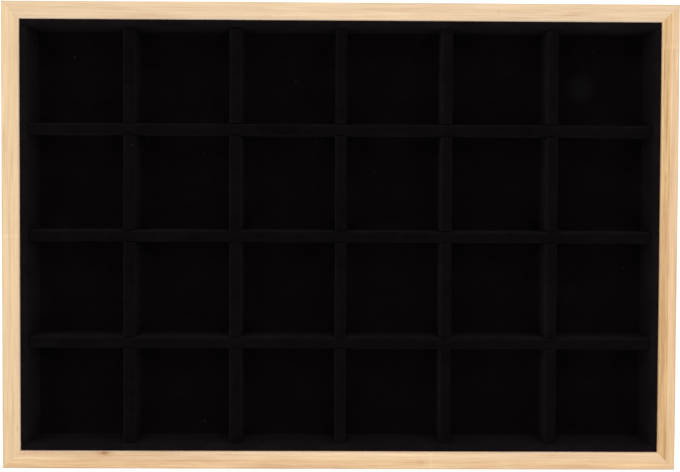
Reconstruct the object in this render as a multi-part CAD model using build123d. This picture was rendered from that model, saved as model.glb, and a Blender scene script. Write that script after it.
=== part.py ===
from build123d import *

import os

# A shallow bamboo tray for jewelry, lined with velvet and split by crossed dividers that lift out.
# Lengths are millimetres. X runs along the tray's long side, Y across it and Z up.
# The origin is on the table, under the middle of the tray.

# Bamboo frame, outside
tray_width = 350.0
tray_depth = 242.0
tray_height = 30.0
rail_thickness = 9.2
rail_edge_radius = 0.8

# Bamboo tongues, glued inside the mitres
key_length = 6.4
key_thickness = 2.0
key_height = 16.0
key_clearance = 0.1

# Base panel, held in a groove round the inside of the rails
base_lift = 1.5
base_thickness = 2.7
groove_depth = 4.0
groove_clearance = 0.3

# Velvet and the boards that it is glued on, with their upper edges sanded round
velvet_thickness = 0.8
board_edge_radius = 0.9
floor_board_thickness = 1.0
floor_clearance = 0.3
wall_board_thickness = 2.7
wall_drop = 1.0

# Crossed dividers, each a board in a velvet sleeve
column_count = 6
row_count = 4
divider_board_thickness = 4.2
divider_drop = 2.5
divider_end_clearance = 0.3
divider_foot_clearance = 0.3
slot_clearance = 0.3
lap_clearance = 0.3

# How far a cutting solid runs past the face that it cuts
overrun = 1.0

# Heights, worked out upwards from the table
base_top = base_lift + base_thickness
floor_board_top = base_top + floor_board_thickness
floor_top = floor_board_top + velvet_thickness
wall_top = tray_height - wall_drop
divider_top = tray_height - divider_drop
divider_foot = floor_top + divider_foot_clearance
divider_height = divider_top - divider_foot
lap_level = divider_foot + divider_height / 2

# Spaces inside the rails and inside the lining
mouth_width = tray_width - 2 * rail_thickness
mouth_depth = tray_depth - 2 * rail_thickness
lining_thickness = wall_board_thickness + velvet_thickness
inside_width = mouth_width - 2 * lining_thickness
inside_depth = mouth_depth - 2 * lining_thickness

# Velvet's outer radius where it folds over a board's upper edge
fold_radius = board_edge_radius + velvet_thickness

# Divider thickness over the velvet, and the steps between dividers that make all cells alike
divider_thickness = divider_board_thickness + 2 * velvet_thickness
column_pitch = (inside_width + divider_thickness) / column_count
row_pitch = (inside_depth + divider_thickness) / row_count


def divider_places(cell_count, pitch):
    """Where the dividers stand along a side that they split into cell_count cells."""
    return [(i + 1 - cell_count / 2) * pitch for i in range(cell_count - 1)]


def block(width, depth, low, high):
    """A box about the Z axis, from height low to height high."""
    return Pos(0, 0, (low + high) / 2) * Box(width, depth, high - low)


def upper_edges(shape):
    """The edges along X at the top of a shape, from the one at the lowest Y."""
    return shape.edges().filter_by(Axis.X).group_by(Axis.Z)[-1].sort_by(Axis.Y)


def corner_keys(clearance):
    """The tongues across the four mitres, or with a clearance the pockets that hold them."""
    key = Box(
        key_length + 2 * clearance,
        key_thickness + 2 * clearance,
        key_height + 2 * clearance,
    )
    keys = []
    for side in (-1, 1):
        for end in (-1, 1):
            corner = Pos(
                side * (tray_width - rail_thickness) / 2,
                end * (tray_depth - rail_thickness) / 2,
                (base_top + tray_height) / 2,
            )
            keys.append(corner * Rot(0, 0, -45 * side * end) * key)
    return keys


def mitred_rail(length):
    """A rail along X, with its outer face on Y = 0, its inner face towards +Y and its groove."""
    outline = Polygon(
        (-length / 2, 0),
        (length / 2, 0),
        (length / 2 - rail_thickness, rail_thickness),
        (-length / 2 + rail_thickness, rail_thickness),
        align=None,
    )
    rail = extrude(outline, tray_height)
    rail = fillet(rail.edges().filter_by(Axis.X), rail_edge_radius)
    groove = block(length, 2 * groove_depth, base_lift, base_top)
    return rail - Pos(0, rail_thickness, 0) * groove


def frame_rails():
    """The four rails in their places, with pockets for the corner keys."""
    long_rail = mitred_rail(tray_width)
    short_rail = mitred_rail(tray_depth)
    rails = {
        "front_rail": Pos(0, -tray_depth / 2, 0) * long_rail,
        "back_rail": Pos(0, tray_depth / 2, 0) * Rot(0, 0, 180) * long_rail,
        "left_rail": Pos(-tray_width / 2, 0, 0) * Rot(0, 0, -90) * short_rail,
        "right_rail": Pos(tray_width / 2, 0, 0) * Rot(0, 0, 90) * short_rail,
    }
    pockets = corner_keys(key_clearance)
    return {name: rail - pockets for name, rail in rails.items()}


def base_and_floor():
    """The base panel in its groove, and the velvet-covered board that lies on it."""
    reach = 2 * (groove_depth - groove_clearance)
    floor_width = mouth_width - 2 * floor_clearance
    floor_depth = mouth_depth - 2 * floor_clearance
    return {
        "base_panel": block(mouth_width + reach, mouth_depth + reach, base_lift, base_top),
        "floor_board": block(floor_width, floor_depth, base_top, floor_board_top),
        "floor_velvet": block(floor_width, floor_depth, floor_board_top, floor_top),
    }


def wall_lining(length):
    """A board along X with its back on Y = 0, and the velvet over its face and top edge."""
    board = Pos(0, wall_board_thickness / 2, 0) * block(
        length, wall_board_thickness, floor_top, wall_top - velvet_thickness
    )
    cover = Pos(0, lining_thickness / 2, 0) * block(length, lining_thickness, floor_top, wall_top)
    board = fillet(upper_edges(board)[-1], board_edge_radius)
    return board, fillet(upper_edges(cover)[-1], fold_radius) - board


def wall_linings():
    """The four lined walls: the long ones fill the mouth, the short ones stand between them."""
    long_lining = wall_lining(mouth_width)
    short_lining = wall_lining(inside_depth)
    places = {
        "front": (Pos(0, -mouth_depth / 2, 0), long_lining),
        "back": (Pos(0, mouth_depth / 2, 0) * Rot(0, 0, 180), long_lining),
        "left": (Pos(-mouth_width / 2, 0, 0) * Rot(0, 0, -90), short_lining),
        "right": (Pos(mouth_width / 2, 0, 0) * Rot(0, 0, 90), short_lining),
    }
    parts = {}
    for side, (place, (board, velvet)) in places.items():
        parts[f"{side}_wall_board"] = place * board
        parts[f"{side}_wall_velvet"] = place * velvet
    return parts


def divider(length, crossings, slot_low, slot_high):
    """A divider along X: its board and its velvet sleeve, with a half-lap slot at each crossing."""
    sleeve = block(length, divider_thickness, divider_foot, divider_top)
    sleeve = fillet(upper_edges(sleeve), fold_radius)
    board = block(
        length, divider_board_thickness, divider_foot, divider_top - velvet_thickness
    )
    board = fillet(upper_edges(board), board_edge_radius)
    slot = block(
        divider_thickness + 2 * slot_clearance,
        divider_thickness + 2 * overrun,
        slot_low,
        slot_high,
    )
    slots = [Pos(place, 0, 0) * slot for place in crossings]
    return board - slots, sleeve - board - slots


def crossed_dividers():
    """The long dividers, slotted from below, over the short dividers, slotted from above."""
    column_places = divider_places(column_count, column_pitch)
    row_places = divider_places(row_count, row_pitch)
    parts = {}
    long_board, long_velvet = divider(
        inside_width - 2 * divider_end_clearance,
        column_places,
        divider_foot - overrun,
        lap_level + lap_clearance / 2,
    )
    for number, place in enumerate(row_places, start=1):
        parts[f"long_divider_board_{number}"] = Pos(0, place, 0) * long_board
        parts[f"long_divider_velvet_{number}"] = Pos(0, place, 0) * long_velvet
    short_board, short_velvet = divider(
        inside_depth - 2 * divider_end_clearance,
        row_places,
        lap_level - lap_clearance / 2,
        divider_top + overrun,
    )
    for number, place in enumerate(column_places, start=1):
        across = Pos(place, 0, 0) * Rot(0, 0, 90)
        parts[f"short_divider_board_{number}"] = across * short_board
        parts[f"short_divider_velvet_{number}"] = across * short_velvet
    return parts


def build_tray():
    """Every piece of the tray, by name."""
    return {
        **frame_rails(),
        "corner_keys": Compound(children=corner_keys(0)),
        **base_and_floor(),
        **wall_linings(),
        **crossed_dividers(),
    }


os.makedirs("parts", exist_ok=True)
for name, shape in build_tray().items():
    export_step(shape, f"parts/{name}.step")
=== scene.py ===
from math import cos, pi, radians, sin

import bmesh
import bpy
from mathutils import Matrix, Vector


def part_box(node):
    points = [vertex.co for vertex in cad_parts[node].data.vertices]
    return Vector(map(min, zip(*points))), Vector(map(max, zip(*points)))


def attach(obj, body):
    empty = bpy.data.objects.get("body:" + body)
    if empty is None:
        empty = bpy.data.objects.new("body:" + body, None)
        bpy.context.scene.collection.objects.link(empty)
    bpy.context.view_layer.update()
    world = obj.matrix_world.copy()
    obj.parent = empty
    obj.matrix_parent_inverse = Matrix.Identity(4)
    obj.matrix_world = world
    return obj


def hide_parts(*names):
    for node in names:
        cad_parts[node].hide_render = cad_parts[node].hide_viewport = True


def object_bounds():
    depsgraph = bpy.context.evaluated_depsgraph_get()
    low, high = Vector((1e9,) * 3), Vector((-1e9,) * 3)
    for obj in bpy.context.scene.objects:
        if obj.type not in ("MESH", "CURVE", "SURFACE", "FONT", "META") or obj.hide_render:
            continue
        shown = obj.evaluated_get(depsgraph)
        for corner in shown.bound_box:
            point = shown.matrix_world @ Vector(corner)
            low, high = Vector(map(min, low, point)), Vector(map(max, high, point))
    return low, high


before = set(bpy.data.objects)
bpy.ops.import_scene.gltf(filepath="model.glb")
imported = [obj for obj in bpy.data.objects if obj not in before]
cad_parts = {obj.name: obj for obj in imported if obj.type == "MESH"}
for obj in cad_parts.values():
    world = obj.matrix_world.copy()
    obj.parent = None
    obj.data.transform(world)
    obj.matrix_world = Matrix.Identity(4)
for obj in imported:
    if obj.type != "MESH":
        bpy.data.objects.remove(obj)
cad_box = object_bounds()

# The view
# The tray is seen from almost straight above, a little over half a metre up, through
# a lens of ordinary length. The rails' outer edges just fill the picture.
camera_place = (0.0057, 0.0297, 0.5673)
camera_turn_degrees = (-1.507, -0.473, 0.275)
lens_length = 55
film_width = 36
view_shift = (-0.0298, -0.0424)
bpy.ops.object.camera_add(
    location=camera_place, rotation=[radians(turn) for turn in camera_turn_degrees]
)
camera = bpy.context.object
camera.data.lens = lens_length
camera.data.sensor_width = film_width
camera.data.shift_x, camera.data.shift_y = view_shift
bpy.context.scene.camera = camera
bpy.context.scene.view_settings.view_transform = "Standard"

# The studio
# A pale floor in a bright room, under one very large soft box that hangs high above the
# tray, a little towards its back. Floor and room look whiter than the light they give.
white = (1, 1, 1, 1)
floor_size = 30.0
floor_drop = 0.0002
floor_grey = 0.80
floor_roughness = 0.9
floor_glow = 0.42
soft_box_place = (0.05, 0.35, 1.75)
soft_box_size = 2.4
soft_box_power = 15.8
room_strength = 0.66


class Paint:
    """One output of a material's nodes. Arithmetic on paints adds Math nodes."""

    def __init__(self, tree, socket):
        self.tree = tree
        self.socket = socket

    def node(self, kind, settings, sockets, output=0):
        """A new node: its settings are made first, then its sockets are filled or linked."""
        made = self.tree.nodes.new("ShaderNode" + kind)
        for name, setting in settings.items():
            setattr(made, name, setting)
        for name, value in sockets.items():
            if isinstance(value, Paint):
                self.tree.links.new(value.socket, made.inputs[name])
            else:
                made.inputs[name].default_value = value
        return Paint(self.tree, made.outputs[output])

    def math(self, operation, first, second=0.0):
        return self.node("Math", {"operation": operation}, {0: first, 1: second})

    def __add__(self, other):
        return self.math("ADD", self, other)

    def __radd__(self, other):
        return self.math("ADD", other, self)

    def __sub__(self, other):
        return self.math("SUBTRACT", self, other)

    def __rsub__(self, other):
        return self.math("SUBTRACT", other, self)

    def __mul__(self, other):
        return self.math("MULTIPLY", self, other)

    def __truediv__(self, other):
        return self.math("DIVIDE", self, other)

    def __abs__(self):
        return self.math("ABSOLUTE", self)

    def fraction(self):
        """What is left of a number above the whole number below it."""
        return self.math("FRACT", self)

    def larger(self, other):
        return self.math("MAXIMUM", self, other)

    def axes(self):
        """The X, Y and Z of a vector."""
        x = self.node("SeparateXYZ", {}, {0: self})
        return [Paint(self.tree, axis) for axis in x.socket.node.outputs]

    def vector(self, operation, other):
        """Vector arithmetic with another vector."""
        return self.node("VectorMath", {"operation": operation}, {0: self, 1: other})

    def length(self):
        return self.node("VectorMath", {"operation": "LENGTH"}, {0: self}, output="Value")

    def dot(self, other):
        sockets = {0: self, 1: other}
        return self.node("VectorMath", {"operation": "DOT_PRODUCT"}, sockets, output="Value")

    def stretched(self, x, y, z):
        """A vector with each axis multiplied."""
        return self.vector("MULTIPLY", (x, y, z))

    def noise(self, scale=1.0, detail=2.0, roughness=0.5):
        """Smooth noise about 0.5 at this vector."""
        sockets = {"Vector": self, "Scale": scale, "Detail": detail, "Roughness": roughness}
        return self.node("TexNoise", {}, sockets)

    def step(self, low, high):
        """A smooth rise from 0 at low to 1 at high."""
        sockets = {"Value": self, "From Min": low, "From Max": high}
        return self.node("MapRange", {"interpolation_type": "SMOOTHSTEP"}, sockets)

    def blend(self, start, end):
        """The colour between start and end at this factor."""
        # A Mix node has sockets for each kind of value. These are the ones for colours.
        return self.node("Mix", {"data_type": "RGBA"}, {0: self, 6: start, 7: end}, output=2)

    def bump(self, distance, strength=0.5):
        """The surface's direction where this height stands out from it."""
        return self.node("Bump", {}, {"Strength": strength, "Distance": distance, "Height": self})

    def feeds(self, shader, socket):
        self.tree.links.new(self.socket, shader.inputs[socket])


def new_finish(name, **constants):
    """A material with its constants on its shader: the material, the shader and a point's place."""
    made = bpy.data.materials.new(name)
    made.use_nodes = True
    shader = made.node_tree.nodes["Principled BSDF"]
    for socket, value in constants.items():
        shader.inputs[socket.replace("_", " ")].default_value = value
    coordinates = made.node_tree.nodes.new("ShaderNodeTexCoord")
    return made, shader, Paint(made.node_tree, coordinates.outputs["Object"])


def seen_directly(tree):
    """1 for what the camera sees, also in gloss or through glass, and 0 for the light itself."""
    light_path = tree.nodes.new("ShaderNodeLightPath")
    rays = ["Is Camera Ray", "Is Glossy Ray", "Is Transmission Ray"]
    seen = [Paint(tree, light_path.outputs[ray]) for ray in rays]
    return seen[0].larger(seen[1]).larger(seen[2])


bpy.ops.object.select_all(action="DESELECT")
bpy.ops.mesh.primitive_plane_add(size=floor_size, location=(0, 0, -floor_drop))
floor = bpy.context.object
floor.name = "studio_floor"
paper, paper_shader, _ = new_finish(
    "paper",
    Base_Color=(floor_grey, floor_grey, floor_grey, 1),
    Roughness=floor_roughness,
    Emission_Color=white,
)
(seen_directly(paper.node_tree) * floor_glow).feeds(paper_shader, "Emission Strength")
floor.data.materials.append(paper)

aim = -Vector(soft_box_place)
bpy.ops.object.light_add(
    type="AREA", location=soft_box_place, rotation=aim.to_track_quat("-Z", "Y").to_euler()
)
light = bpy.context.object
light.name = "soft_box"
light.data.shape = "SQUARE"
light.data.size = soft_box_size
light.data.energy = soft_box_power

room = bpy.data.worlds.new("room")
room.use_nodes = True
backdrop = room.node_tree.nodes["Background"]
backdrop.inputs["Color"].default_value = white
whiter = seen_directly(room.node_tree) * (1 - room_strength)
(whiter + room_strength).feeds(backdrop, "Strength")
bpy.context.scene.world = room

# The bamboo frame
# Four rails of pressed bamboo, each glued up from two upright plies, are mitred at their
# ends, grooved inside for the base panel, rounded along their edges and lacquered satin.
rail_edge_radius = 0.0008
edge_segments = 5
mitre_edge_radius = 0.00006
mitre_segments = 2
rail_crease_degrees = 35
side_turns = {"front": 0.0, "back": pi, "left": -pi / 2, "right": pi / 2}
tray_low, tray_high = cad_box
rail_low, rail_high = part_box("front_rail")
rail_thickness = rail_high.y - rail_low.y
rail_height = rail_high.z - rail_low.z

# How often each pattern in the bamboo repeats in a metre: along a rail, across it and up it
fibre_grain = (32, 1000, 1000)
band_grain = (14, 420, 420)
vein_grain = (26, 760, 760)
pore_grain = (75, 2600, 2600)
drift_grain = (11, 70, 70)
warmth_grain = (7, 190, 190)
wander_grain = (14, 0, 0)

# The levels of noise between which a vein or a pore comes out
vein_start, vein_end = 0.54, 0.72
pore_start, pore_end = 0.60, 0.72

# How much each pattern darkens the bamboo, or makes it paler
fibre_shade = 0.34
band_shade = 0.24
vein_shade = 0.05
pore_shade = 0.05
drift_shade = 0.20
glue_line_shade = 0.04
ring_shade = 0.035
collar_light = 0.07

# The glue line between the plies
glue_line_width = 0.00012
glue_line_blur = 0.0002
glue_line_wander = 0.0003

# A growth ring with its pale collar, and a knot or a stain: how far fibres fray it and
# broader patterns bend it, and where it starts to fade and ends
ring_fray, ring_bend = 0.0016, 0.0030
ring_start, ring_end = 0.0001, 0.0009
collar_place = 0.0015
collar_start, collar_end = 0.0004, 0.0016
mark_fray, mark_bend = 0.9, 0.6
mark_start, mark_end = 0.2, 1.1

# Along the top edges, a painted highlight makes the inner one paler and painted shade makes the
# outer one greyer
top_edge_depth = 2.0 * rail_edge_radius
painted_edge_highlight_width = 1.6 * rail_edge_radius
painted_edge_shade_width = 1.8 * rail_edge_radius

# How far each of these changes red, green and blue
shade_tint = (0.62, 0.88, 1.08)
warmth_tint = (0.0, 0.06, 0.24)
painted_edge_highlight_tint = (0.03, 0.10, 0.30)
painted_edge_shade_tint = (0.34, 0.26, 0.10)

# The lacquer: the grain changes how dull it is, and it lies lower in pores and glue line
lacquer_roughness = 0.40
fibre_dullness, pore_dullness = 0.16, 0.08
grain_height = 0.00006
fibre_relief, pore_relief, glue_line_relief = 0.6, 0.5, 0.5


def select_only(piece):
    """Selects one piece and nothing else."""
    bpy.ops.object.select_all(action="DESELECT")
    piece.select_set(True)
    bpy.context.view_layer.objects.active = piece


def edit(piece, kind, test):
    """Opens a piece for editing, with the edges or faces that pass the test selected."""
    if bpy.context.mode != "OBJECT":
        bpy.ops.object.mode_set(mode="OBJECT")
    select_only(piece)
    bpy.ops.object.mode_set(mode="EDIT")
    bpy.ops.mesh.select_mode(type=kind)
    bpy.ops.mesh.select_all(action="DESELECT")
    mesh = bmesh.from_edit_mesh(piece.data)
    elements = mesh.edges if kind == "EDGE" else mesh.faces
    for element in elements:
        if test(element):
            element.select_set(True)
    mesh.select_flush_mode()
    bmesh.update_edit_mesh(piece.data)


def everything(element):
    return True


def runs_along(edge, axis):
    """Whether an edge lies along one axis."""
    reach = edge.verts[1].co - edge.verts[0].co
    return abs(reach[axis]) > 0.999 * reach.length


def modify(piece, kind, **settings):
    """Adds a modifier to a piece and applies it."""
    select_only(piece)
    modifier = piece.modifiers.new(kind.lower(), kind)
    for name, setting in settings.items():
        setattr(modifier, name, setting)
    bpy.ops.object.modifier_apply(modifier=modifier.name)


def settle(piece, place, turn=0.0, scale=(1, 1, 1)):
    """Scales and turns a piece, moves it, and puts all of it into its mesh."""
    piece.scale = scale
    piece.rotation_euler = (0, 0, turn)
    piece.location = place
    select_only(piece)
    bpy.ops.object.transform_apply(location=True, rotation=True, scale=True)


def block(name, size, centre):
    """A box, as the start of a piece or as a cutter."""
    bpy.ops.object.select_all(action="DESELECT")
    bpy.ops.mesh.primitive_cube_add(size=1)
    piece = bpy.context.object
    piece.name = name
    settle(piece, centre, scale=size)
    return piece


def smooth(piece, degrees):
    """Shades a piece smooth, apart from creases that are sharper than this."""
    select_only(piece)
    bpy.ops.object.shade_smooth_by_angle(angle=radians(degrees))


def outward(turn):
    """The way out of the tray from a side that lies at this turn."""
    return Vector((sin(turn), -cos(turn), 0))


def bamboo(name, place, turn, seed, outer, inner, streaks, painted_edge_shade=0.0, rings=(), marks=()):
    """Bamboo whose grain runs along a piece that lies at this place and turn.

    outer and inner are the two plies' colours, and streaks how strongly each is streaked.
    soiling is how grey the outer top edge is painted, as painted shade, and the inner one is
    painted pale, as a painted highlight.
    A ring is how far along the piece a growth ring crosses it. A mark is a knot or a stain:
    how far along the piece and across it from the outer face, its length and width, and
    how much paler it is, or darker where that is less than zero.
    """
    made, shader, point = new_finish(
        name, Specular_IOR_Level=0.42, Coat_Weight=0.08, Coat_Roughness=0.30
    )
    moved = point.vector("SUBTRACT", place)
    own = moved.node(
        "VectorRotate", {"rotation_type": "Z_AXIS"}, {"Vector": moved, "Angle": -turn}
    )
    along, across, up = own.axes()

    grain = own.vector("ADD", (seed, seed, seed))
    fibres = grain.stretched(*fibre_grain).noise(detail=4.0, roughness=0.72) - 0.5
    bands = grain.stretched(*band_grain).noise() - 0.5
    veins = grain.stretched(*vein_grain).noise(1.3, detail=1.0).step(vein_start, vein_end)
    pores = grain.stretched(*pore_grain).noise(detail=1.0).step(pore_start, pore_end)
    drift = grain.stretched(*drift_grain).noise(detail=1.0) - 0.5
    warmth = grain.stretched(*warmth_grain).noise(1.7) - 0.5

    wander = (grain.stretched(*wander_grain).noise(detail=1.0) - 0.5) * glue_line_wander
    from_line = across - rail_thickness / 2 + wander
    ply = from_line.step(-glue_line_blur, glue_line_blur)
    line = 1 - abs(from_line).step(0.5 * glue_line_width, 1.6 * glue_line_width)

    strength = streaks[0] + ply * (streaks[1] - streaks[0])
    shade = fibres * fibre_shade + bands * band_shade - veins * vein_shade - pores * pore_shade
    shade = shade * strength + drift * drift_shade - line * (glue_line_shade * streaks[1])
    for ring in rings:
        from_ring = along - ring + fibres * ring_fray + drift * ring_bend
        from_collar = from_ring - collar_place
        shade = shade - (1 - abs(from_ring).step(ring_start, ring_end)) * ring_shade
        shade = shade + (1 - abs(from_collar).step(collar_start, collar_end)) * collar_light
    for mark_along, mark_across, length, width, tone in marks:
        from_mark = own.vector("SUBTRACT", (mark_along, mark_across, 0))
        reach = from_mark.stretched(2 / length, 2 / width, 0).length()
        ragged = reach + fibres * mark_fray + bands * mark_bend
        shade = shade + (1 - ragged.step(mark_start, mark_end)) * tone

    # A painted highlight along the inner top edge, and painted shade along the outer top edge
    near_top_edge = up.step(rail_height - top_edge_depth, rail_height)
    painted_edge_highlight = across.step(rail_thickness - painted_edge_highlight_width, rail_thickness) * near_top_edge
    painted_edge_shade_mask = (1 - across.step(0, painted_edge_shade_width)) * near_top_edge * painted_edge_shade
    channels = [
        shade * darken + warmth * warm + painted_edge_highlight * lift - painted_edge_shade_mask * dim
        for darken, warm, lift, dim in zip(shade_tint, warmth_tint, painted_edge_highlight_tint, painted_edge_shade_tint)
    ]
    change = shade.node("CombineXYZ", {}, dict(enumerate(channels))).vector("ADD", (1, 1, 1))
    ply.blend(outer, inner).vector("MULTIPLY", change).feeds(shader, "Base Color")
    dullness = fibres * fibre_dullness + pores * pore_dullness
    (lacquer_roughness + dullness).feeds(shader, "Roughness")
    height = fibres * fibre_relief - pores * pore_relief - line * glue_line_relief
    height.bump(grain_height).feeds(shader, "Normal")
    return made


def mitred_rail(side, length, place, turn):
    """A rail made along X with its outer face on Y = 0, then turned into its place."""
    rail = block(
        f"{side}_rail_bamboo",
        (length, rail_thickness, rail_height),
        (0, rail_thickness / 2, rail_height / 2),
    )
    edit(rail, "EDGE", lambda edge: runs_along(edge, 0))
    bpy.ops.mesh.bevel(offset=rail_edge_radius, segments=edge_segments, affect="EDGES")
    for end in (-1, 1):
        edit(rail, "FACE", everything)
        bpy.ops.mesh.bisect(
            plane_co=(end * length / 2, 0, 0),
            plane_no=(end, 1, 0),
            use_fill=True,
            clear_outer=True,
        )
        # The new face across the mitre, whose edges are barely rounded
        edit(rail, "FACE", lambda face: face.normal.x * end > 0.5)
        bpy.ops.mesh.bevel(offset=mitre_edge_radius, segments=mitre_segments, affect="EDGES")
    bpy.ops.object.mode_set(mode="OBJECT")
    settle(rail, place, turn)
    panel_low, panel_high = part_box("base_panel")
    groove = block("groove", panel_high - panel_low, (panel_low + panel_high) / 2)
    modify(rail, "BOOLEAN", object=groove, operation="DIFFERENCE", solver="EXACT")
    bpy.data.objects.remove(groove)
    smooth(rail, rail_crease_degrees)
    return rail


pale_straw = (0.868, 0.634, 0.394, 1)
warm_straw = (0.848, 0.600, 0.345, 1)
soft_straw = (0.847, 0.583, 0.345, 1)
honey = (0.815, 0.530, 0.286, 1)
amber = (0.838, 0.560, 0.315, 1)
tan_heart = (0.730, 0.447, 0.200, 1)
rail_looks = {
    "back": {
        "seed": 3.1,
        "outer": pale_straw,
        "inner": pale_straw,
        "streaks": (2.0, 2.0),
        "painted_edge_shade": 0.2,
        "marks": [
            (-0.1050, 0.0046, 0.2000, 0.0130, -0.07),
            (-0.0810, 0.0047, 0.0034, 0.0040, -0.10),
            (-0.1187, 0.0060, 0.0120, 0.0014, -0.16),
            (0.0850, 0.0030, 0.0300, 0.0020, -0.06),
        ],
    },
    "front": {
        "seed": 5.3,
        "outer": honey,
        "inner": soft_straw,
        "streaks": (3.0, 2.3),
        "painted_edge_shade": 0.5,
        "rings": [0.0462],
        "marks": [
            (-0.1218, 0.0084, 0.0050, 0.0030, -0.36),
            (-0.1218, 0.0082, 0.0140, 0.0040, -0.24),
            (-0.0950, 0.0042, 0.2200, 0.0130, -0.07),
            (-0.0720, 0.0040, 0.0600, 0.0022, -0.10),
            (-0.1540, 0.0038, 0.0130, 0.0022, -0.09),
            (0.0340, 0.0036, 0.0260, 0.0036, -0.09),
            (0.0425, 0.0034, 0.0070, 0.0040, -0.16),
            (0.0410, 0.0066, 0.0060, 0.0020, -0.08),
            (0.0560, 0.0016, 0.0180, 0.0014, -0.12),
        ],
    },
    "left": {
        "seed": 7.7,
        "outer": warm_straw,
        "inner": warm_straw,
        "streaks": (2.1, 2.1),
        "painted_edge_shade": 0.3,
        "rings": [-0.0017],
        "marks": [
            (0.1000, 0.0079, 0.0050, 0.0020, -0.20),
            (-0.0060, 0.0072, 0.0040, 0.0022, -0.10),
        ],
    },
    "right": {
        "seed": 9.2,
        "outer": amber,
        "inner": tan_heart,
        "streaks": (2.1, 4.8),
        "painted_edge_shade": 0.35,
        "rings": [0.0975],
        "marks": [
            (0.0948, 0.0028, 0.0090, 0.0030, -0.10),
            (0.0317, 0.0067, 0.0070, 0.0034, -0.14),
            (0.0080, 0.0058, 0.0320, 0.0020, -0.12),
            (-0.0520, 0.0050, 0.0500, 0.0014, -0.12),
            (-0.0700, 0.0080, 0.0700, 0.0016, -0.10),
        ],
    },
}
half_size = (tray_high - tray_low) / 2
for side, look in rail_looks.items():
    turn = side_turns[side]
    place = outward(turn) * half_size
    length = 2 * (half_size.x if side in ("front", "back") else half_size.y)
    rail = mitred_rail(side, length, place, turn)
    rail.data.materials.append(bamboo(f"bamboo_{side}", place, turn, **look))
    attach(rail, "tray")
    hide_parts(f"{side}_rail")


def refinish(node, made):
    """Gives a piece that keeps its CAD shape another finish."""
    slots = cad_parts[node].data.materials
    slots.clear()
    slots.append(made)


key_look = {"seed": 1.7, "outer": honey, "inner": honey, "streaks": (0.8, 0.8)}
refinish("corner_keys", bamboo("bamboo_key", (0, 0, 0), 0.0, **key_look))

# The base panel
# A thin bamboo board, glued up from broad strips, slides into the rails' groove before
# the last mitre is closed. Its underside is sanded and left without lacquer.
strip_width = 0.021
ring_gap = 0.23
base_pale = (0.770, 0.530, 0.305, 1)
base_dark = (0.440, 0.255, 0.110, 1)
base_fibre_grain = (24, 1000, 0)
base_band_grain = (10, 330, 0)
base_vein_grain = (26, 640, 0)
sanded_roughness, sanded_dullness = 0.62, 0.2
sanded_height = 0.00008

# How far each strip's grain is moved from the last one's, so that no two are alike
strip_offset = (0.37, 1.9)

# Its middle tone, between dark at 0 and pale at 1, and how much each pattern moves it
base_tone = 0.62
base_fibre_shade = 1.9
base_band_shade = 1.1
base_vein_shade = 0.16
base_ring_shade = 0.4
strip_shade = 1.3
seam_shade = 0.8
seam_share = 0.02
base_ring_bend = 0.003
base_ring_start, base_ring_end = 0.0002, 0.0014

base_finish, base_shader, point = new_finish("base_bamboo", Specular_IOR_Level=0.25)
across = point.axes()[1] / strip_width
strip = point.math("FLOOR", across)
shifts = {0: strip * strip_offset[0], 1: strip * strip_offset[1], 2: 0.0}
strip_place = point.node("CombineXYZ", {}, shifts)
own = point.vector("ADD", strip_place)
fibres = own.stretched(*base_fibre_grain).noise(detail=4.0, roughness=0.72) - 0.5
bands = own.stretched(*base_band_grain).noise() - 0.5
veins = own.stretched(*base_vein_grain).noise(1.3, detail=1.0).step(vein_start, vein_end)
strip_tone = strip_place.noise(2.3, detail=0.0) - 0.5
seam = abs(across.fraction() - 0.5).step(0.5 - seam_share, 0.5)
from_ring = abs((own.axes()[0] / ring_gap).fraction() - 0.5) * ring_gap
ring = 1 - (from_ring + bands * base_ring_bend).step(base_ring_start, base_ring_end)
tone = base_tone + fibres * base_fibre_shade + bands * base_band_shade + strip_tone * strip_shade
tone = tone - veins * base_vein_shade - ring * base_ring_shade - seam * seam_shade
tone.step(0.0, 1.0).blend(base_dark, base_pale).feeds(base_shader, "Base Color")
(sanded_roughness + fibres * sanded_dullness).feeds(base_shader, "Roughness")
(fibres - seam).bump(sanded_height).feeds(base_shader, "Normal")
refinish("base_panel", base_finish)

# The hidden boards
# Pressed paper board, dyed dark grey and cut to size, stiffens the floor, the walls and
# the dividers. It shows only at cut edges, when the dividers are lifted out.
board_dark = (0.010, 0.009, 0.009, 1)
board_pale = (0.022, 0.020, 0.019, 1)
fleck_scale = 900.0
fleck_share = 0.6
layer_grain = (40, 40, 3000)
pulp_dark, pulp_pale = 0.35, 0.65
board_roughness, fleck_dullness = 0.80, 0.2
pulp_height = 0.0001

board_finish, board_shader, point = new_finish("dark_board", Specular_IOR_Level=0.1)
fleck = point.noise(fleck_scale, detail=3.0, roughness=0.7)
layer = point.stretched(*layer_grain).noise(detail=1.0)
pulp = fleck * fleck_share + layer * (1 - fleck_share)
board_colour = pulp.step(pulp_dark, pulp_pale).blend(board_dark, board_pale)
board_colour.feeds(board_shader, "Base Color")
(board_roughness + (fleck - 0.5) * fleck_dullness).feeds(board_shader, "Roughness")
pulp.bump(pulp_height, strength=0.4).feeds(board_shader, "Normal")
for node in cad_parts:
    if "board" in node:
        refinish(node, board_finish)

# The velvet floor
# Short, dense black velvet is glued flat over the floor board, before the walls go in.
# Its nap lies unevenly, and two round dents show where something stood on it.
pile_depth = 0.0008
nap_relief_height = 0.00016
patchy_nap_size = 0.022
floor_columns, floor_rows = 150, 100
floor_crease_degrees = 60
foot_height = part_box("floor_velvet")[1].z
brim_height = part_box("short_divider_velvet_1")[1].z

# The nap's lean, which sets where painted sheen makes the velvet paler, and how often its
# unevenness repeats in a metre and how much it shades
nap_lean = (-0.7, 0.35, 0)
patch_scale, patch_shade = 60.0, 0.7
stroke_scale, stroke_shade = 180.0, 0.6
pile_scale, pile_shade = 2600.0, 1.0
pile_height, pile_strength = 0.0002, 0.35
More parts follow.
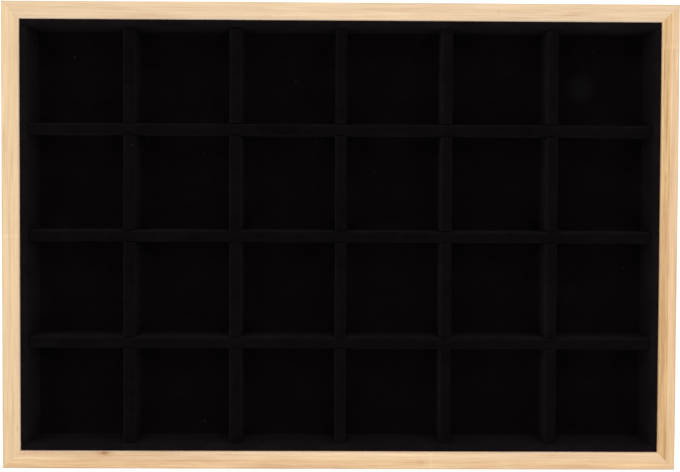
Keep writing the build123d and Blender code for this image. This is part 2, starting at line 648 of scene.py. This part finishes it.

# Lint, dents, and painted light along the foot of each divider and wall
lint_colour = (0.030, 0.028, 0.027, 1)
lint_spread = 62.0
lint_size = 0.00060
crushed_nap = (0.0062, 0.0055, 0.0064, 1)
dents = [(0.1290, 0.0796, 0.0078, 0.85), (0.1231, -0.0319, 0.0066, 0.4)]
dent_start_share, dent_end_share = 0.35, 1.30
foot_light_start, foot_light_end = 0.002, 0.012
column_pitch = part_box("short_divider_velvet_2")[0].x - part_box("short_divider_velvet_1")[0].x
row_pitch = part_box("long_divider_velvet_2")[0].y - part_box("long_divider_velvet_1")[0].y


def near_dividers(point):
    """1 along the foot of each divider and wall, and 0 further into the cells."""
    near = []
    for place, pitch in zip(point.axes(), (column_pitch, row_pitch)):
        away = abs((place / pitch + 0.5).fraction() - 0.5) * pitch
        near.append(1 - away.step(foot_light_start, foot_light_end))
    return near[0].larger(near[1])


def velvet(name, crown, face, sheen, lean_shade=0.0, foot_shade=0.0, painted_foot_light=0.0, dents=()):
    """Black velvet: crown is its colour where it faces upwards, and face where it stands upright.

    sheen is the colour that it gives back when it is seen at a slant, and the paler face colour
    paints more of that sheen on upright faces. Its nap leans, and what faces against the lean is
    painted paler by lean_shade, as painted sheen. An upright face is painted darker by foot_shade
    towards its foot, as painted shade. A floor can be painted paler by a given amount along the
    foot of each divider and wall, as painted light. A dent is a round mark where the nap is
    crushed: its place, its radius and how pale it is.
    """
    made, shader, point = new_finish(
        name,
        Roughness=1.0,
        Specular_IOR_Level=0.0,
        Sheen_Weight=1.0,
        Sheen_Roughness=0.5,
        Sheen_Tint=sheen,
    )
    patches = point.noise(patch_scale) - 0.5
    strokes = point.noise(stroke_scale) - 0.5
    pile = point.noise(pile_scale, roughness=0.6) - 0.5
    facing = point.node("TexCoord", {}, {}, output="Normal")
    # Painted sheen: what faces against the nap's lean is painted paler
    lean_sheen = facing.dot(nap_lean)
    upright = 1 - abs(facing.axes()[2])
    # Painted shade: an upright face is painted darker towards its foot
    foot_shade_mask = (1 - point.axes()[2].step(foot_height, brim_height)) * upright
    shade = 1 + patches * patch_shade + strokes * stroke_shade + pile * pile_shade
    shade = shade * (1 + lean_sheen * lean_shade) * (1 - foot_shade_mask * foot_shade)
    # Painted light: a floor is painted paler along the foot of each divider and wall
    if painted_foot_light > 0:
        shade = shade * (1 + near_dividers(point) * (patches + 1) * painted_foot_light)
    # Upright faces take the paler face colour, as painted sheen
    colour = upright.blend(crown, face).vector("MULTIPLY", shade)
    for dent_x, dent_y, radius, strength in dents:
        reach = point.vector("SUBTRACT", (dent_x, dent_y, 0)).stretched(1, 1, 0).length()
        uncrushed = reach.step(dent_start_share * radius, dent_end_share * radius)
        colour = ((1 - uncrushed) * strength).blend(colour, crushed_nap)
    from_lint = point.node("TexVoronoi", {}, {"Vector": point, "Scale": lint_spread})
    lint = 1 - from_lint.step(0.0, lint_spread * lint_size)
    lint.blend(colour, lint_colour).feeds(shader, "Base Color")
    pile.bump(pile_height, pile_strength).feeds(shader, "Normal")
    return made


def relief(name, size):
    """A cloudy texture for a Displace modifier."""
    made = bpy.data.textures.new(name, "CLOUDS")
    made.noise_scale = size
    made.noise_depth = 1
    return made


def ruffle(cloth, texture, height, direction):
    """Makes the nap of a cloth uneven, on the side that isn't glued down."""
    modify(
        cloth,
        "DISPLACE",
        texture=texture,
        texture_coords="GLOBAL",
        direction=direction,
        strength=height,
        mid_level=0.5,
        vertex_group="glued_side",
        invert_vertex_group=True,
    )


def thicken(cloth):
    """Thickens a cloth on the side that is glued down, which it also names."""
    cloth.vertex_groups.new(name="glued_side")
    modify(
        cloth,
        "SOLIDIFY",
        thickness=pile_depth,
        offset=-1,
        use_even_offset=True,
        shell_vertex_group="glued_side",
    )


def dress(cloth, finish, crease_degrees):
    """Gives a cloth its shading and its finish, and takes away the group that named its sides."""
    cloth.vertex_groups.clear()
    smooth(cloth, crease_degrees)
    cloth.data.materials.append(finish)


patchy_nap = relief("patchy_nap", patchy_nap_size)
velvet_floor_finish = velvet(
    "velvet_floor",
    crown=(0.0037, 0.0026, 0.0031, 1),
    face=(0.0080, 0.0060, 0.0066, 1),
    sheen=(0.018, 0.0136, 0.0155, 1),
    painted_foot_light=0.5,
    dents=dents,
)
low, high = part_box("floor_velvet")
floor_flat = (high.x - low.x, high.y - low.y)
bpy.ops.object.select_all(action="DESELECT")
bpy.ops.mesh.primitive_grid_add(x_subdivisions=floor_columns, y_subdivisions=floor_rows, size=1)
floor_cloth = bpy.context.object
floor_cloth.name = "floor_velvet_cloth"
settle(floor_cloth, (0, 0, high.z), scale=(*floor_flat, 1))
thicken(floor_cloth)
ruffle(floor_cloth, patchy_nap, nap_relief_height, "Z")
dress(floor_cloth, velvet_floor_finish, floor_crease_degrees)
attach(floor_cloth, "tray")
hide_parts("floor_velvet")

# The lined walls
# Each wall board is covered with a strip of the same velvet, glued up its face and folded
# over its rounded top edge. The strip's back edge is tucked against the bamboo.
fold_radius = 0.0017
fold_segments = 7
rim_radius = 0.0002
rim_segments = 2
rim_degrees = 70
cloth_crease_degrees = 50
cloth_step = 0.0025
face_rows = 6
fine_nap_size = 0.010
wander_size = 0.060
wander_height = 0.0003

fine_nap = relief("fine_nap", fine_nap_size)
slow_wander = relief("slow_wander", wander_size)
# The walls' velvet is the same cloth, painted paler than the dividers' as painted light from the
# bright bamboo beside it
painted_light_wall_velvet = velvet(
    "velvet_wall",
    crown=(0.0074, 0.0056, 0.0062, 1),
    face=(0.0110, 0.0081, 0.0090, 1),
    sheen=(0.0120, 0.0093, 0.0102, 1),
)


def on_line(edge, y, z):
    """Whether an edge lies along X at this Y and Z."""
    near = 1e-6
    ends = [corner.co for corner in edge.verts]
    return all(abs(end.y - y) < near and abs(end.z - z) < near for end in ends)


def cloth_strip(name, length, width, height, folds):
    """A strip along X with its top at Z = height, from Y = 0 to Y = width.

    It is folded down to Z = 0 over the edges named in folds: those at Y = 0 or Y = width.
    """
    bpy.ops.object.select_all(action="DESELECT")
    bpy.ops.mesh.primitive_grid_add(
        x_subdivisions=round(length / cloth_step), y_subdivisions=1, size=1
    )
    cloth = bpy.context.object
    cloth.name = name
    settle(cloth, (0, width / 2, height), scale=(length, width, 1))
    # The falls are drawn down row by row, and then the folds above them are rounded.
    first_fall = 2 * fold_radius
    falls = [first_fall] + [(height - first_fall) / face_rows] * face_rows
    for fold in folds:
        level = height
        for fall in falls:
            edit(cloth, "EDGE", lambda edge: on_line(edge, fold, level))
            bpy.ops.mesh.extrude_region_move(TRANSFORM_OT_translate={"value": (0, 0, -fall)})
            level = level - fall
    for fold in folds:
        edit(cloth, "EDGE", lambda edge: on_line(edge, fold, height))
        bpy.ops.mesh.bevel(offset=fold_radius, segments=fold_segments, affect="EDGES")
    edit(cloth, "FACE", everything)
    bpy.ops.mesh.normals_make_consistent(inside=False)
    bpy.ops.object.mode_set(mode="OBJECT")
    # The cloth's outer side is the one that faces up.
    if sum(face.normal.z * face.area for face in cloth.data.polygons) < 0:
        cloth.data.flip_normals()
    return cloth


def strip_size(node):
    """The length, the thickness and the height of a piece that stands along X or Y."""
    low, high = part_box(node)
    size = high - low
    return max(size.x, size.y), min(size.x, size.y), size.z


def settle_over(cloth, node, turn, thickness):
    """Turns a folded strip and moves it to the place of the piece that it stands for."""
    low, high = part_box(node)
    back = (low + high) / 2 + outward(turn) * thickness / 2
    settle(cloth, (back.x, back.y, low.z), turn)


def finish_cloth(cloth, finish, wander_axis):
    """Thickens a folded strip, softens its cut edges and makes its nap uneven."""
    thicken(cloth)
    modify(
        cloth,
        "BEVEL",
        width=rim_radius,
        segments=rim_segments,
        limit_method="ANGLE",
        angle_limit=radians(rim_degrees),
    )
    ruffle(cloth, fine_nap, nap_relief_height, "NORMAL")
    ruffle(cloth, slow_wander, wander_height, wander_axis)
    dress(cloth, finish, cloth_crease_degrees)


def girth(width, height, fold_count):
    """How wide a strip is cut to go over a board with this many folds."""
    return width + fold_count * (height - (2 - pi / 2) * fold_radius)


for side, turn in side_turns.items():
    node = f"{side}_wall_velvet"
    length, thickness, height = strip_size(node)
    cloth = cloth_strip(f"{side}_wall_cloth", length, thickness, height, [thickness])
    settle_over(cloth, node, turn, thickness)
    finish_cloth(cloth, painted_light_wall_velvet, "Y" if side in ("front", "back") else "X")
    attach(cloth, "tray")
    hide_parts(node)

# The crossed dividers
# Eight boards in velvet sleeves. Five short ones, notched from above, stand across the
# tray, and three long ones, notched from below, are pushed down over them.
slot_clearance = 0.0003
lap_clearance = 0.0003
divider_velvet_finish = velvet(
    "velvet_divider",
    crown=(0.0041, 0.0033, 0.0036, 1),
    face=(0.0096, 0.0076, 0.0082, 1),
    sheen=(0.0120, 0.0093, 0.0102, 1),
    lean_shade=0.35,
    foot_shade=0.60,
)


def cut_notches(cloth, crossings, slot_width, notch_end, opens_upward):
    """Cuts a notch through a sleeve at each crossing, from notch_end to its open edge."""
    for crossing in crossings:
        for side in (-1, 1):
            edit(cloth, "FACE", everything)
            bpy.ops.mesh.bisect(
                plane_co=(crossing + side * slot_width / 2, 0, 0), plane_no=(1, 0, 0)
            )
    edit(cloth, "FACE", everything)
    bpy.ops.mesh.bisect(plane_co=(0, 0, notch_end), plane_no=(0, 0, 1))

    def in_notch(face):
        middle = face.calc_center_median()
        beside = min(abs(middle.x - crossing) for crossing in crossings)
        return beside < slot_width / 2 and (middle.z > notch_end) == opens_upward

    edit(cloth, "FACE", in_notch)
    bpy.ops.mesh.delete(type="FACE")
    bpy.ops.object.mode_set(mode="OBJECT")


def sleeve(kind, number, body, crossings):
    """One divider's velvet sleeve, folded over its board's top edge and notched."""
    node = f"{kind}_divider_velvet_{number}"
    length, thickness, height = strip_size(node)
    name = f"{kind}_divider_cloth_{number}"
    cloth = cloth_strip(name, length, thickness, height, [0, thickness])
    opens_upward = kind == "short"
    slot_width = thickness + 2 * slot_clearance
    notch_end = (height + (-lap_clearance if opens_upward else lap_clearance)) / 2
    cut_notches(cloth, crossings, slot_width, notch_end, opens_upward)
    settle_over(cloth, node, 0.0 if kind == "long" else pi / 2, thickness)
    finish_cloth(cloth, divider_velvet_finish, "Y" if kind == "long" else "X")
    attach(cloth, body)
    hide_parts(node)
    cut_girth = girth(thickness, height, 2)
    notch_girth = cut_girth - 2 * notch_end if opens_upward else 2 * notch_end
    length * cut_girth - len(crossings) * slot_width * notch_girth


def middles(kind, axis):
    """Where the dividers of one kind stand, along one axis."""
    boxes = [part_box(node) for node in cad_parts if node.startswith(f"{kind}_divider_velvet")]
    return sorted((low[axis] + high[axis]) / 2 for low, high in boxes)


short_places = middles("short", 0)
long_places = middles("long", 1)
for number in range(1, len(short_places) + 1):
    sleeve("short", number, "short_dividers", long_places)
for number in range(1, len(long_places) + 1):
    sleeve("long", number, f"long_divider_{number}", short_places)
